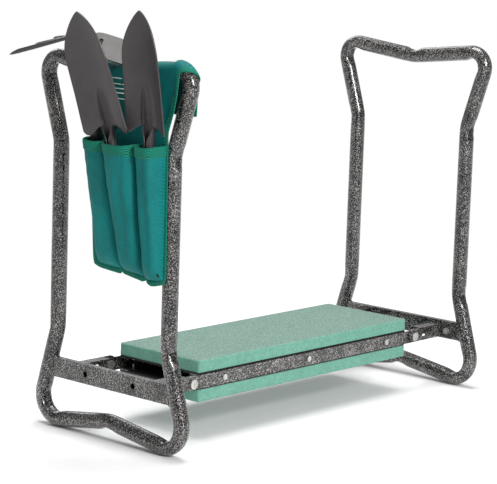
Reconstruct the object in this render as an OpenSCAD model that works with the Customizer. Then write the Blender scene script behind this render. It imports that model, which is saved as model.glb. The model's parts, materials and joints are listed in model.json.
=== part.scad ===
// Folding garden kneeler and seat: two bent-tube end frames hinged to a padded
// deck, with a hanging tool pouch and three hand tools. The origin is on the
// floor, midway between the end frames and on the deck's centre line. X runs
// along the deck, the pouch hangs at the -X end, and +Z is up.

/* [End frames] */
// Distance between the centre planes of the two end frames
frame_span = 597; // [594:1:600]
// Overall height of an end frame
frame_h = 490; // [480:1:500]
// Outside diameter of the frame tube
tube_d = 21; // [19:0.5:21]
// Wall thickness of the frame tube
tube_wall = 1.5; // [1:0.1:2.5]
// Half width of the tube's centre line at the straight waist
waist_y = 99.5; // [98:0.5:102]
// Half width of the tube's centre line at the outermost bends
corner_y = 125; // [122:0.5:128]
// Height of the lower elbow, where the legs start to splay
lower_elbow_z = 130.5; // [126:0.5:136]
// Height of the upper elbow, where the handles start to splay
upper_elbow_z = 374; // [366:0.5:380]
// Bend radius of the top corners, on the centre line
top_bend_r = 21; // [18:0.5:24]
// Bend radius of the foot corners, on the centre line
foot_bend_r = 29; // [25:0.5:31]
// How far the middle of the handle bar dips
handle_dip = 11.5; // [8:0.5:14]
// How far the middle of the foot bar arches off the floor
foot_arch = 14; // [8:0.5:18]

/* [Crossbars and arms] */
// Height of a crossbar
crossbar_h = 25; // [22:0.5:27]
// Thickness of a crossbar across the frame
crossbar_t = 9; // [8:0.5:10]
// Height of a crossbar's centre above the floor
crossbar_z = 78.5; // [77:0.5:80]
// Diameter of the two holes in a crossbar
crossbar_hole_d = 8; // [5:0.5:10]
// Distance between the two holes in a crossbar
crossbar_hole_gap = 86; // [60:1:100]
// Height of an arm
arm_h = 18.5; // [18:0.5:20]
// Sheet thickness of an arm
arm_t = 2; // [1.5:0.1:2]

/* [Deck] */
// Length of the two rails
rail_l = 500; // [496:1:504]
// Height of a rail
rail_h = 17.5; // [17:0.5:18]
// Distance between the outer faces of the two rails
rail_span = 147; // [146:0.5:148]
// Sheet thickness of a rail
rail_t = 1.6; // [1.2:0.1:1.8]
// Length of the foam pads
pad_l = 427; // [400:1:428]
// Width of the foam pads
pad_w = 144; // [142:1:146]
// Thickness of each foam pad
pad_t = 16.6; // [12:0.1:18]
// Thickness of the board behind each pad
board_t = 2; // [1.5:0.1:3]
// Spacing of the three cross members
member_gap = 167; // [150:1:180]

/* [Hinges] */
// Distance of a hinge axis from the middle of the deck
hinge_x = 228.5; // [228:0.5:230]
// Height of the hinge axes
hinge_z = 76; // [75:0.5:77]
// Diameter of a hinge rivet's shank
rivet_d = 8; // [6:0.5:8]
// Radial clearance of a rivet in its arm
rivet_clear = 0.05; // [0.02:0.01:0.1]

/* [Pouch] */
// Height of the pocket mouths above the floor
mouth_z = 386; // [384:1:390]
// Height of the pocket bottoms above the floor
pocket_foot_z = 230; // [226:1:236]
// How far the middle pocket stands out at the mouth
mouth_depth = 35; // [34:0.5:37]
// How far the middle pocket stands out at the bottom
foot_depth = 16; // [15:0.5:18]
// Thickness of the pouch cloth
cloth_t = 1.6; // [1.2:0.1:1.8]

/* [Tools] */
// Thickness of the pressed blades
blade_t = 1.6; // [1.2:0.1:2]
// Diameter of the tool grips
grip_d = 17; // [15:0.5:17]
// Length of the tool grips
grip_l = 66; // [60:1:68]
// Diameter of the steel necks above the grips
neck_d = 14; // [10:0.5:15]
// Length of the trowel's blade
trowel_l = 165; // [150:1:170]
// Width of the trowel's blade
trowel_w = 76; // [60:1:78]
// Length of the transplanting trowel's blade
transplanter_l = 162; // [150:1:170]
// Width of the transplanting trowel's blade
transplanter_w = 64; // [50:1:66]
// Length of the hoe's shank from the pocket mouth to the middle of its head
hoe_head_h = 123.5; // [120:0.5:124.5]
// Length of the cultivator's side prongs
prong_l = 102; // [90:1:104]

/* [Hidden] */
$fn = 48;

// Tube centre line, drawn in a plane whose axes are the object's Y and Z
frame_x = frame_span / 2;
tube_r = tube_d / 2;
// How far a cutting shape runs past the face it cuts
over = 1;
elbow_r = 40;
middle_r = 40;
bend_step = 0.05;
bend_lap = 1.5;

// Heading of the line from p that touches a circle on its left (1) or right (-1)
function touch_angle(p, c, r, side) =
    atan2(c[1] - p[1], c[0] - p[0]) - side * asin(r / norm(c - p));
// Where the line from p at heading a meets the line from q at heading b
function crossing(p, a, q, b) =
    let (s = (q[0] - p[0]) * sin(b) - (q[1] - p[1]) * cos(b))
    p + s / sin(b - a) * [cos(a), sin(a)];
// Sharp corner of two lines, from p and to q, that a bend about c rounds off
function corner(p, q, c, r) = crossing(p, touch_angle(p, c, r, 1), q, touch_angle(q, c, r, -1));
function mirrored(p) = [-p[0], p[1]];

arch_mid = [0, tube_r + foot_arch];
dip_mid = [0, frame_h - tube_r - handle_dip];
lower_elbow = [waist_y, lower_elbow_z];
upper_elbow = [waist_y, upper_elbow_z];
foot_centre = [corner_y - foot_bend_r, tube_r + foot_bend_r];
top_centre = [corner_y - top_bend_r, frame_h - tube_r - top_bend_r];
foot_corner = corner(arch_mid, lower_elbow, foot_centre, foot_bend_r);
top_corner = corner(upper_elbow, dip_mid, top_centre, top_bend_r);
half_loop = [foot_corner, lower_elbow, upper_elbow, top_corner];
half_loop_r = [foot_bend_r, elbow_r, elbow_r, top_bend_r];
loop = concat([arch_mid], half_loop, [dip_mid], [for (i = [3:-1:0]) mirrored(half_loop[i])]);
loop_r = concat([middle_r], half_loop_r, [middle_r], [for (i = [3:-1:0]) half_loop_r[i]]);
vent_r = 1.5;
vent_y = 30;

// Crossbars and arms
crossbar_wall = 1.5;
crossbar_in_x = frame_x - crossbar_t / 2;
washer_t = 0.7;
washer_r = 7.75;
side_gap = 0.3;
rail_y = rail_span / 2;
arm_y = rail_y + washer_t + side_gap;
arm_out_y = arm_y + arm_t;
rail_top_z = hinge_z + rail_h / 2;
rail_low_z = hinge_z - rail_h / 2;
stop_gap = 0.3;
stop_z = rail_top_z + stop_gap;
stop_w = 13;
stop_start_x = hinge_x + stop_w;
arm_top_z = stop_z + arm_t;
arm_z = arm_top_z - arm_h / 2;
arm_tip = 1.5;
arm_end_x = hinge_x - arm_tip;
tab_end_y = 94;
arm_bolt_y = 86;
arm_bolt_r = 3;
arm_bolt_head_r = 4.5;
arm_bolt_head_h = 3;
arm_bolt_l = 7;
slot_past_hinge = 23;
slot_x = hinge_x + slot_past_hinge;
slot_h = 4.5;
slot_reach = 2.25;

// Deck
flange_w = 18;
flange_l = pad_l;
tongue_r = rail_h / 2;
member_w = 13;
member_wall = 1.2;
plug_l = 12;
screw_r = 2;
screw_head_r = 3.8;
screw_head_h = 2;
screw_l = 13;
board_inset = 2;
board_w = pad_w - 2 * board_inset;
board_screw_r = 1.8;
board_screw_head_r = 3.6;
board_screw_l = 8;
board_screw_gap = 65;
board_screws_i = [-3, -1, 1, 3];
board_screw_y = rail_y - 10;
rivet_r = rivet_d / 2;
rivet_head_r = 6.25;
rivet_head_h = 2.4;
rivet_tail_r = 5.5;
rivet_tail_h = 2;
rivet_l = arm_out_y + side_gap - rail_y + rail_t;

// Pouch
saddle_gap = 0.4;
saddle_r = tube_r + saddle_gap;
cloth_x = -frame_x - saddle_r;
pocket_x = cloth_x - cloth_t;
pocket_wall = 0.8;
hem_t = 0.7;
hem_h = 12;
binding_w = 1.5;
panel_top_y = [-99, 42];
flap_z = 424;
strip_y = [-90, 30];
strip_z = [flap_z + 6, flap_z + 26];
// Each pocket, from -Y to +Y: the Y of its right side at the mouth and bottom, the
// same of its left side, and how much shallower it is than the middle one at both
pocket_sides = [[[-98, -98], [-66, -72]], [[-64, -70], [-13, -32]], [[-11, -30], [27, 11]]];
pocket_less = [[6, 0], [0, 0], [8, 3]];

// Tools: place of the neck's centre at the pocket mouth, then how far the top
// leans towards +Y and towards -X
trowel_at = [-330, -22.5, 386];
trowel_lean = [7.5, 6];
transplanter_at = [-323.5, -81, 390];
transplanter_lean = [-1, 0];
hoe_at = [-320.3, 15, 391];
hoe_lean = [9.5, 0];
crank = 11;
grip_top = -8;
base_z = 10;
neck_top = base_z + 2;
shoulder = 0.6;
taper = 0.08;
point_power = 0.8;
side_steps = 20;
dish = 8;
dish_back = 2;
socket_l = 58;
socket_tilt = 1.5;
socket_tip_r = 1;
socket_r = 6.5;
tang_r = 3;
tang_l = 45;
hang_hole_r = 2.5;
hang_hole_up = 8;
hoe_shank_r = 5;
hub_r = 9;
hub_h = 12;
// Half the hoe's plate, from the middle of its point round to the hub
plate_half = [[0, -74], [27, -60], [27, -24], [24, -16], [8, -10], [6, 3]];
plate_roll = 24;
plate_turn = 24;
plate_slope = 43;
prong_r = 3;
prong_tip_r = 0.8;
prong_tip_l = 12;
prong_angle = 20;
prong_roll = 2;
prong_turn = -8;
prong_slope = 4;
middle_prong_less = 9;

frame_grey = "#3c3a3a";
foam_green = "#78c3a5";
cloth_teal = "#1e7872";
binding_green = "#1e6e50";
tool_grey = "#4e4a4c";
board_black = "#202020";

// ---------- shared shapes ----------

function heading(p, q) = atan2(q[1] - p[1], q[0] - p[0]);
function turn(a, b) = (b - a + 540) % 360 - 180;
function cut_back(p, q, s, r) = r * tan(abs(turn(heading(p, q), heading(q, s))) / 2);

// One straight of a bent bar. The profile's X points left of the heading.
module straight(p, q, trim_p, trim_q) {
    a = heading(p, q);
    translate(p + trim_p * [cos(a), sin(a)])
        rotate([90, 0, 90 + a])
            linear_extrude(norm(q - p) - trim_p - trim_q)
                children();
}

// One bend of a bent bar, about the sharp corner q between p and s. Its ends
// lap into the straights, so its profile is bend_step smaller than theirs.
module bend(p, q, s, r) {
    a = heading(p, q);
    b = heading(q, s);
    side = sign(turn(a, b));
    start = q - cut_back(p, q, s, r) * [cos(a), sin(a)];
    translate(start + side * r * [-sin(a), cos(a)])
        rotate((side > 0 ? a - 90 : b + 90) - bend_lap)
            rotate_extrude(angle = abs(turn(a, b)) + 2 * bend_lap)
                translate([r, 0])
                    mirror([side > 0 ? 1 : 0, 0])
                        children();
}

// A closed round bar of radius bar_r through the corners in points, each
// rounded to its own radius
module bent_loop(points, radii, bar_r) {
    n = len(points);
    function at(i) = points[(i + n) % n];
    function trim(i) = cut_back(at(i - 1), at(i), at(i + 1), radii[(i + n) % n]);
    for (i = [0:n - 1]) {
        straight(at(i), at(i + 1), trim(i), trim(i + 1)) circle(bar_r);
        bend(at(i - 1), at(i), at(i + 1), radii[i]) circle(bar_r - bend_step);
    }
}

// An open bent bar through three corners, given its straight and bend profiles
module bent_run(p, q, s, r) {
    t = cut_back(p, q, s, r);
    straight(p, q, 0, t) children(0);
    straight(q, s, t, 0) children(0);
    bend(p, q, s, r) children(1);
}

module ring(outer, inner) {
    difference() {
        circle(outer);
        circle(inner);
    }
}

// Stands a drawing in the X-Y plane up in the plane of an end frame
module in_frame_plane(x) translate([x, 0, 0]) rotate([90, 0, 90]) children();

// A cylinder along +Y from its start point
module y_rod(at, r, h) translate(at) rotate([-90, 0, 0]) cylinder(r = r, h = h);
// A cylinder along +X from its start point
module x_rod(at, r, h) translate(at) rotate([0, 90, 0]) cylinder(r = r, h = h);
// A box between two corners
module block(low, high) translate(low) cube(high - low);

// ---------- end frames, modelled at the +X end ----------

module tube_frame() {
    color(frame_grey)
        difference() {
            in_frame_plane(frame_x) bent_loop(loop, loop_r, tube_r);
            in_frame_plane(frame_x) bent_loop(loop, loop_r, tube_r - tube_wall);
            translate([frame_x, vent_y, 0]) cylinder(r = vent_r, h = tube_r + foot_arch);
        }
}

module leg_core() {
    in_frame_plane(frame_x)
        straight(foot_corner, lower_elbow, 0, 0)
            circle(tube_r);
}

module crossbar() {
    color(frame_grey)
        difference() {
            translate([frame_x, 0, crossbar_z])
                rotate([90, 0, 0])
                    linear_extrude(2 * (corner_y - tube_r), center = true)
                        difference() {
                            square([crossbar_t, crossbar_h], center = true);
                            square([crossbar_t, crossbar_h] - 2 * crossbar_wall * [1, 1], center = true);
                        }
            leg_core();
            mirror([0, 1, 0]) leg_core();
            for (side = [-1, 1]) {
                x_rod([crossbar_in_x - over, side * crossbar_hole_gap / 2, crossbar_z],
                      crossbar_hole_d / 2, crossbar_t + 2 * over);
                x_rod([crossbar_in_x - over, side * arm_bolt_y, arm_z],
                      arm_bolt_r, crossbar_wall + 2 * over);
            }
        }
}

// The arm on the +Y side: a strap from the hinge to a tab on the crossbar, with
// a flange on top that stops the frame at upright
module arm() {
    color(frame_grey)
        difference() {
            union() {
                block([arm_end_x, arm_y, arm_z - arm_h / 2], [crossbar_in_x, arm_out_y, arm_top_z]);
                y_rod([arm_end_x, arm_y, arm_z], arm_h / 2, arm_t);
                block([crossbar_in_x - arm_t, arm_y, arm_z - arm_h / 2],
                      [crossbar_in_x, tab_end_y, arm_top_z]);
                block([stop_start_x, arm_y - stop_w, stop_z], [crossbar_in_x, arm_out_y, arm_top_z]);
            }
            y_rod([hinge_x, arm_y - over, hinge_z], rivet_r + rivet_clear, arm_t + 2 * over);
            x_rod([crossbar_in_x - arm_t - over, arm_bolt_y, arm_z], arm_bolt_r, arm_t + 2 * over);
            for (end = [-1, 1])
                y_rod([slot_x + end * slot_reach, arm_y - over, hinge_z], slot_h / 2, arm_t + 2 * over);
            block([slot_x - slot_reach, arm_y - over, hinge_z - slot_h / 2],
                  [slot_x + slot_reach, arm_out_y + over, hinge_z + slot_h / 2]);
        }
}

module arm_bolts() {
    color("silver")
        for (side = [-1, 1]) {
            x_rod([crossbar_in_x - arm_t - arm_bolt_head_h, side * arm_bolt_y, arm_z],
                  arm_bolt_head_r, arm_bolt_head_h);
            x_rod([crossbar_in_x - arm_t, side * arm_bolt_y, arm_z], arm_bolt_r, arm_bolt_l);
        }
}

module left_tube_frame() mirror([1, 0, 0]) tube_frame();
module left_crossbar() mirror([1, 0, 0]) crossbar();
module left_front_arm() mirror([1, 0, 0]) mirror([0, 1, 0]) arm();
module left_rear_arm() mirror([1, 0, 0]) arm();
module left_arm_bolts() mirror([1, 0, 0]) arm_bolts();
module right_tube_frame() tube_frame();
module right_crossbar() crossbar();
module right_front_arm() mirror([0, 1, 0]) arm();
module right_rear_arm() arm();
module right_arm_bolts() arm_bolts();

// ---------- deck ----------

// The rail on the +Y side: a channel open to the middle, whose web runs on at
// both ends as a rounded tongue for the hinge
module rail() {
    tongue_x = rail_l / 2 - tongue_r;
    color(frame_grey)
        difference() {
            union() {
                block([-tongue_x, rail_y - rail_t, rail_low_z], [tongue_x, rail_y, rail_top_z]);
                for (end = [-1, 1])
                    y_rod([end * tongue_x, rail_y - rail_t, hinge_z], tongue_r, rail_t);
                for (z = [rail_low_z, rail_top_z - rail_t])
                    block([-flange_l / 2, rail_y - flange_w, z], [flange_l / 2, rail_y, z + rail_t]);
            }
            for (end = [-1, 1])
                y_rod([end * hinge_x, rail_y - rail_t - over, hinge_z], rivet_r, rail_t + 2 * over);
            for (i = [-1:1])
                y_rod([i * member_gap, rail_y - rail_t - over, hinge_z], screw_r, rail_t + 2 * over);
            for (i = board_screws_i)
                translate([i * board_screw_gap, board_screw_y, rail_low_z - over])
                    cylinder(r = board_screw_r, h = rail_h + 2 * over);
        }
}

module front_rail() mirror([0, 1, 0]) rail();
module rear_rail() rail();

module cross_member(x) {
    color(frame_grey)
        translate([x, 0, hinge_z])
            rotate([90, 0, 0])
                linear_extrude(2 * (rail_y - rail_t), center = true)
                    difference() {
                        square(member_w, center = true);
                        square(member_w - 2 * member_wall, center = true);
                    }
}

module left_cross_member() cross_member(-member_gap);
module middle_cross_member() cross_member(0);
module right_cross_member() cross_member(member_gap);

module member_end_plugs() {
    half = member_w / 2 - member_wall;
    color(board_black)
        for (i = [-1:1], side = [0, 1])
            mirror([0, side, 0])
                difference() {
                    block([i * member_gap - half, rail_y - rail_t - plug_l, hinge_z - half],
                          [i * member_gap + half, rail_y - rail_t, hinge_z + half]);
                    y_rod([i * member_gap, rail_y - rail_t - screw_l, hinge_z], screw_r, screw_l + over);
                }
}

// Pan-head screws through the +Y rail into the end plugs
module rail_screws() {
    color("silver")
        for (i = [-1:1]) {
            y_rod([i * member_gap, rail_y, hinge_z], screw_head_r, screw_head_h);
            y_rod([i * member_gap, rail_y - screw_l, hinge_z], screw_r, screw_l);
        }
}

module front_rail_screws() mirror([0, 1, 0]) rail_screws();
module rear_rail_screws() rail_screws();

module hinge_rivets(end) {
    color("silver")
        for (side = [0, 1])
            mirror([0, side, 0]) {
                y_rod([end * hinge_x, rail_y - rail_t, hinge_z], rivet_r, rivet_l);
                y_rod([end * hinge_x, arm_out_y + side_gap, hinge_z], rivet_head_r, rivet_head_h);
                y_rod([end * hinge_x, rail_y - rail_t - rivet_tail_h, hinge_z], rivet_tail_r, rivet_tail_h);
            }
}

module left_hinge_rivets() hinge_rivets(-1);
module right_hinge_rivets() hinge_rivets(1);

module hinge_washers(end) {
    color("white")
        for (side = [0, 1])
            mirror([0, side, 0])
                difference() {
                    y_rod([end * hinge_x, rail_y, hinge_z], washer_r, washer_t);
                    y_rod([end * hinge_x, rail_y - over, hinge_z], rivet_r, washer_t + 2 * over);
                }
}

module left_hinge_washers() hinge_washers(-1);
module right_hinge_washers() hinge_washers(1);

// The board that lies on the rails from z upwards
module board(z) {
    color(board_black)
        difference() {
            block([-pad_l / 2, -board_w / 2, z], [pad_l / 2, board_w / 2, z + board_t]);
            for (i = board_screws_i, side = [-1, 1])
                translate([i * board_screw_gap, side * board_screw_y, z - over])
                    cylinder(r = board_screw_r, h = board_t + 2 * over);
            for (i = board_screws_i, side = [-1, 1])
                translate([i * board_screw_gap, side * board_screw_y, z])
                    cylinder(r1 = board_screw_r, r2 = board_screw_head_r, h = board_t);
        }
}

module board_screws(z) {
    color("silver")
        for (i = board_screws_i, side = [-1, 1])
            translate([i * board_screw_gap, side * board_screw_y, z]) {
                cylinder(r1 = board_screw_r, r2 = board_screw_head_r, h = board_t);
                translate([0, 0, board_t - board_screw_l]) cylinder(r = board_screw_r, h = board_screw_l);
            }
}

// Turns what lies on top of the rails over, to lie under them
module under_rails() translate([0, 0, 2 * hinge_z]) mirror([0, 0, 1]) children();

module kneeling_board() board(rail_top_z);
module seat_board() under_rails() board(rail_top_z);
module kneeling_board_screws() board_screws(rail_top_z);
module seat_board_screws() under_rails() board_screws(rail_top_z);

module pad() {
    color(foam_green)
        translate([-pad_l / 2, -pad_w / 2, rail_top_z + board_t])
            cube([pad_l, pad_w, pad_t]);
}

module kneeling_pad() pad();
module seat_pad() under_rails() pad();

// ---------- pouch ----------

function bar_z(y) = dip_mid[1] + abs(y) * (top_corner[1] - dip_mid[1]) / top_corner[0];

// The back panel's outline from the bar down, as [y, z]
panel = [
    [panel_top_y[1], bar_z(panel_top_y[1])], dip_mid, [panel_top_y[0], bar_z(panel_top_y[0])],
    [-112, 478], [-114, 469], [-106, 444], [-101.5, 415], [-101.5, mouth_z], [-102.5, 228],
    [-100, 218], [-92, 214], [17, 222], [23, 228], [34, mouth_z]
];
// The short flap's outline on the inner side of the bar, where it rounds the
// tube's front top corner
flap = [
    [panel_top_y[1], bar_z(panel_top_y[1])], dip_mid, [panel_top_y[0], bar_z(panel_top_y[0])],
    [-120, 480], [-127, 473], [-128, flap_z], [44, flap_z]
];

module sheet(outline, x, t) translate([x, 0, 0]) rotate([90, 0, 90]) linear_extrude(t) polygon(outline);

// The upper half of a ring about the handle bar, thinned by g on every face
module saddle_profile(g) {
    intersection() {
        ring(saddle_r + cloth_t - g, saddle_r + g);
        translate([-2 * tube_d - g, -tube_d]) square([2 * tube_d, 2 * tube_d]);
    }
}

// One length of cloth: down the outer side, over the handle bar and down inside
module pouch_back_cloth() {
    left = [panel_top_y[1], bar_z(panel_top_y[1])];
    right = [panel_top_y[0], bar_z(panel_top_y[0])];
    color(cloth_teal) {
        in_frame_plane(-frame_x)
            bent_run(left, dip_mid, right, middle_r) {
                saddle_profile(0);
                saddle_profile(bend_step);
            }
        sheet(panel, pocket_x, cloth_t);
        sheet(flap, -frame_x + saddle_r, cloth_t);
    }
}

// Pocket i as a wedge on the panel's outer face, grown by g all round, between
// two heights
module pocket_wedge(i, g, low_z, high_z) {
    right = pocket_sides[i][0] - [g, g];
    left = pocket_sides[i][1] + [g, g];
    mouth_x = pocket_x - mouth_depth + pocket_less[i][0] - g;
    foot_x = pocket_x - foot_depth + pocket_less[i][1] - g;
    intersection() {
        translate([pocket_x - mouth_depth - tube_d, 0, 0])
            rotate([90, 0, 90])
                linear_extrude(mouth_depth + tube_d)
                    polygon([[right[1], pocket_foot_z - g], [left[1], pocket_foot_z - g],
                             [left[0], mouth_z], [right[0], mouth_z]]);
        rotate([90, 0, 0])
            linear_extrude(4 * corner_y, center = true)
                polygon([[pocket_x, pocket_foot_z - g], [foot_x, pocket_foot_z - g],
                         [mouth_x, mouth_z], [pocket_x, mouth_z]]);
        block([pocket_x - 2 * mouth_depth, -2 * corner_y, low_z], [pocket_x, corner_y, high_z]);
    }
}

module pocket(i) {
    color(cloth_teal)
        difference() {
            pocket_wedge(i, 0, 0, mouth_z);
            pocket_wedge(i, -pocket_wall, 0, frame_h);
        }
}

module left_pocket() pocket(2);
module middle_pocket() pocket(1);
module right_pocket() pocket(0);

module pocket_hems() {
    color(binding_green)
        for (i = [0:2])
            difference() {
                pocket_wedge(i, hem_t, mouth_z - hem_h, mouth_z);
                pocket_wedge(i, 0, 0, frame_h);
            }
}

// Tape round the panel's free edges, below the splayed top
module pouch_binding() {
    color(binding_green)
        translate([pocket_x - hem_t, 0, 0])
            rotate([90, 0, 90])
                linear_extrude(cloth_t + hem_t)
                    difference() {
                        offset(delta = binding_w) polygon(panel);
                        polygon(panel);
                        translate([-2 * corner_y, mouth_z]) square([4 * corner_y, frame_h]);
                    }
}

// Fastening strips that face each other across the tube, above the pocket mouths
module hook_and_loop_strips() {
    color("black") {
        for (x = [cloth_x, -frame_x + saddle_r - hem_t])
            block([x, strip_y[0], strip_z[0]], [x + hem_t, strip_y[1], strip_z[1]]);
    }
}

// ---------- tools, each modelled upright with its neck at the origin ----------

module placed(at, lean) translate(at) rotate([-lean[0], -lean[1], 0]) children();

// Half the width of a blade of width w, a share s of the way up: it narrows a
// little up to the shoulder, then curves in to the point
function blade_half(w, s) =
    w / 2 * (s < shoulder ? 1 - taper * s / shoulder
                          : (1 - taper) * pow(1 - pow((s - shoulder) / (1 - shoulder), 2), point_power));
function blade_side(l, w) =
    [for (i = [0:side_steps]) let (s = i / side_steps) [blade_half(w, s), base_z + (l - base_z) * s]];

// A pressed blade dished about a long radius, its hollow side facing -X
module dished_blade(l, w) {
    dish_r = (pow(w / 2, 2) + pow(dish, 2)) / (2 * dish);
    side = blade_side(l, w);
    intersection() {
        translate([-tube_d, 0, 0])
            rotate([90, 0, 90])
                linear_extrude(2 * tube_d)
                    polygon(concat(side, [for (i = [side_steps - 1:-1:0]) mirrored(side[i])]));
        translate([dish_back - dish_r, 0, 0])
            linear_extrude(l + over)
                ring(dish_r + blade_t, dish_r);
    }
}

module neck_and_tang() {
    translate([0, 0, grip_top]) cylinder(r = neck_d / 2, h = neck_top - grip_top);
    translate([0, 0, grip_top - tang_l]) cylinder(r = tang_r, h = tang_l);
}

// Leans whatever is above the neck towards -X
module cranked() translate([0, 0, base_z]) rotate([0, -crank, 0]) translate([0, 0, -base_z]) children();

// A pressed blade, cranked forward from its neck, whose socket narrows to a
// point up the middle
module bladed_tool(l, w) {
    color(tool_grey) {
        neck_and_tang();
        cranked() {
            translate([0, 0, base_z])
                rotate([0, socket_tilt, 0])
                    cylinder(r1 = socket_r, r2 = socket_tip_r, h = socket_l);
            dished_blade(l, w);
        }
    }
}

module grip() {
    color(board_black)
        difference() {
            union() {
                translate([0, 0, grip_top - grip_l + grip_d / 2])
                    cylinder(d = grip_d, h = grip_l - grip_d / 2);
                translate([0, 0, grip_top - grip_l + grip_d / 2]) sphere(d = grip_d);
            }
            translate([0, 0, grip_top - tang_l]) cylinder(r = tang_r, h = tang_l + over);
            x_rod([-grip_d, 0, grip_top - grip_l + hang_hole_up], hang_hole_r, 2 * grip_d);
        }
}

module trowel_blade() placed(trowel_at, trowel_lean) bladed_tool(trowel_l, trowel_w);
module trowel_grip() placed(trowel_at, trowel_lean) grip();
module transplanter_blade()
    placed(transplanter_at, transplanter_lean) bladed_tool(transplanter_l, transplanter_w);
module transplanter_grip() placed(transplanter_at, transplanter_lean) grip();

// The hoe's leaning, cranked frame, with its origin at the middle of the head
module at_head() placed(hoe_at, hoe_lean) cranked() translate([0, 0, hoe_head_h]) children();

module hub() translate([0, 0, -hub_h / 2]) cylinder(r = hub_r, h = hub_h);

// The hoe's plate leaves the hub towards -Y and slopes down to its far end
module hoe_plate() {
    at_head()
        rotate([0, -plate_roll, 0])
            rotate([plate_slope, 0, plate_turn])
                translate([0, -hub_r, -blade_t / 2])
                    linear_extrude(blade_t)
                        polygon(concat(plate_half, [for (i = [5:-1:1]) mirrored(plate_half[i])]));
}

module hoe_shank() {
    color(tool_grey)
        difference() {
            union() {
                placed(hoe_at, hoe_lean) neck_and_tang();
                at_head()
                    translate([0, 0, base_z - hoe_head_h])
                        cylinder(r = hoe_shank_r, h = hoe_head_h - base_z);
                at_head() hub();
            }
            hoe_plate();
        }
}

module hoe_blade() color(tool_grey) hoe_plate();

// A pointed prong along +Y
module prong(l) {
    shaft_l = l - prong_tip_l;
    rotate([-90, 0, 0]) {
        cylinder(r = prong_r, h = shaft_l);
        translate([0, 0, shaft_l]) cylinder(r1 = prong_r, r2 = prong_tip_r, h = prong_tip_l);
    }
}

// Three prongs fan out from the hub towards +Y
module cultivator_prongs() {
    color(tool_grey)
        difference() {
            at_head()
                rotate([0, -prong_roll, 0])
                    rotate([-prong_slope, 0, prong_turn])
                        for (i = [-1:1])
                            rotate(i * prong_angle)
                                prong(prong_l - (i == 0 ? middle_prong_less : 0));
            at_head() hub();
        }
}

module hoe_grip() placed(hoe_at, hoe_lean) grip();

left_tube_frame();
left_crossbar();
left_front_arm();
left_rear_arm();
left_arm_bolts();
right_tube_frame();
right_crossbar();
right_front_arm();
right_rear_arm();
right_arm_bolts();
front_rail();
rear_rail();
left_cross_member();
middle_cross_member();
right_cross_member();
member_end_plugs();
front_rail_screws();
rear_rail_screws();
left_hinge_rivets();
right_hinge_rivets();
left_hinge_washers();
right_hinge_washers();
kneeling_board();
seat_board();
kneeling_board_screws();
seat_board_screws();
kneeling_pad();
seat_pad();
pouch_back_cloth();
left_pocket();
middle_pocket();
right_pocket();
pouch_binding();
pocket_hems();
hook_and_loop_strips();
trowel_blade();
trowel_grip();
transplanter_blade();
transplanter_grip();
hoe_shank();
hoe_blade();
cultivator_prongs();
hoe_grip();
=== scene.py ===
import json
import math
import bpy
from mathutils import Matrix, Vector, noise


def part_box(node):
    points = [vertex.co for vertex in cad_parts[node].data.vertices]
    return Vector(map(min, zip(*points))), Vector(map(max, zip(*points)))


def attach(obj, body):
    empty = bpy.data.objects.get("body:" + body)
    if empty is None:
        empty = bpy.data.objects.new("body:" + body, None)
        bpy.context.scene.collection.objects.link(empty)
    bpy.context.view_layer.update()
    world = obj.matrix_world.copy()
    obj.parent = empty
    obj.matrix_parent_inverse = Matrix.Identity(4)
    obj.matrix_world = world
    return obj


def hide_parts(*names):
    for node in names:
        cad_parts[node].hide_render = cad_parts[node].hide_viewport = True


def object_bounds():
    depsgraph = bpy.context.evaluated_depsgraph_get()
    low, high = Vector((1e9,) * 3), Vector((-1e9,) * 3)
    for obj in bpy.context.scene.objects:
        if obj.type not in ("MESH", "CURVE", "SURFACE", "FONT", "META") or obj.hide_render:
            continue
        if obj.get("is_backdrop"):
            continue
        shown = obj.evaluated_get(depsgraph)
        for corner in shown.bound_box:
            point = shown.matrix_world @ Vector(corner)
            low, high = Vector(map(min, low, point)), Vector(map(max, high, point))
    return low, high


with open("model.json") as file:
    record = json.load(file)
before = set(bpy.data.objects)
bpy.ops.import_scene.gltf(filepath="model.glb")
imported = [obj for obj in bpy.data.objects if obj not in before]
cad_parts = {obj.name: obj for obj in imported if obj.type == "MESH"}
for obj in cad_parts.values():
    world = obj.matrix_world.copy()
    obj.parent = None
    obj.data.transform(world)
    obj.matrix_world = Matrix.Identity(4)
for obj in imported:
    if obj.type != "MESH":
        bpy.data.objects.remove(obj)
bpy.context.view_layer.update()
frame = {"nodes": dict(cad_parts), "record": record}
nodes = frame["nodes"]
scene = bpy.context.scene
MM = 0.001


# ---------------------------------------------------------------- materials

def linear(rgb):
    """An opaque linear colour from sRGB values of 0 to 255."""
    shares = [c / 255 for c in rgb]
    return tuple(c / 12.92 if c <= 0.04045 else ((c + 0.055) / 1.055) ** 2.4 for c in shares) + (1,)


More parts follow.
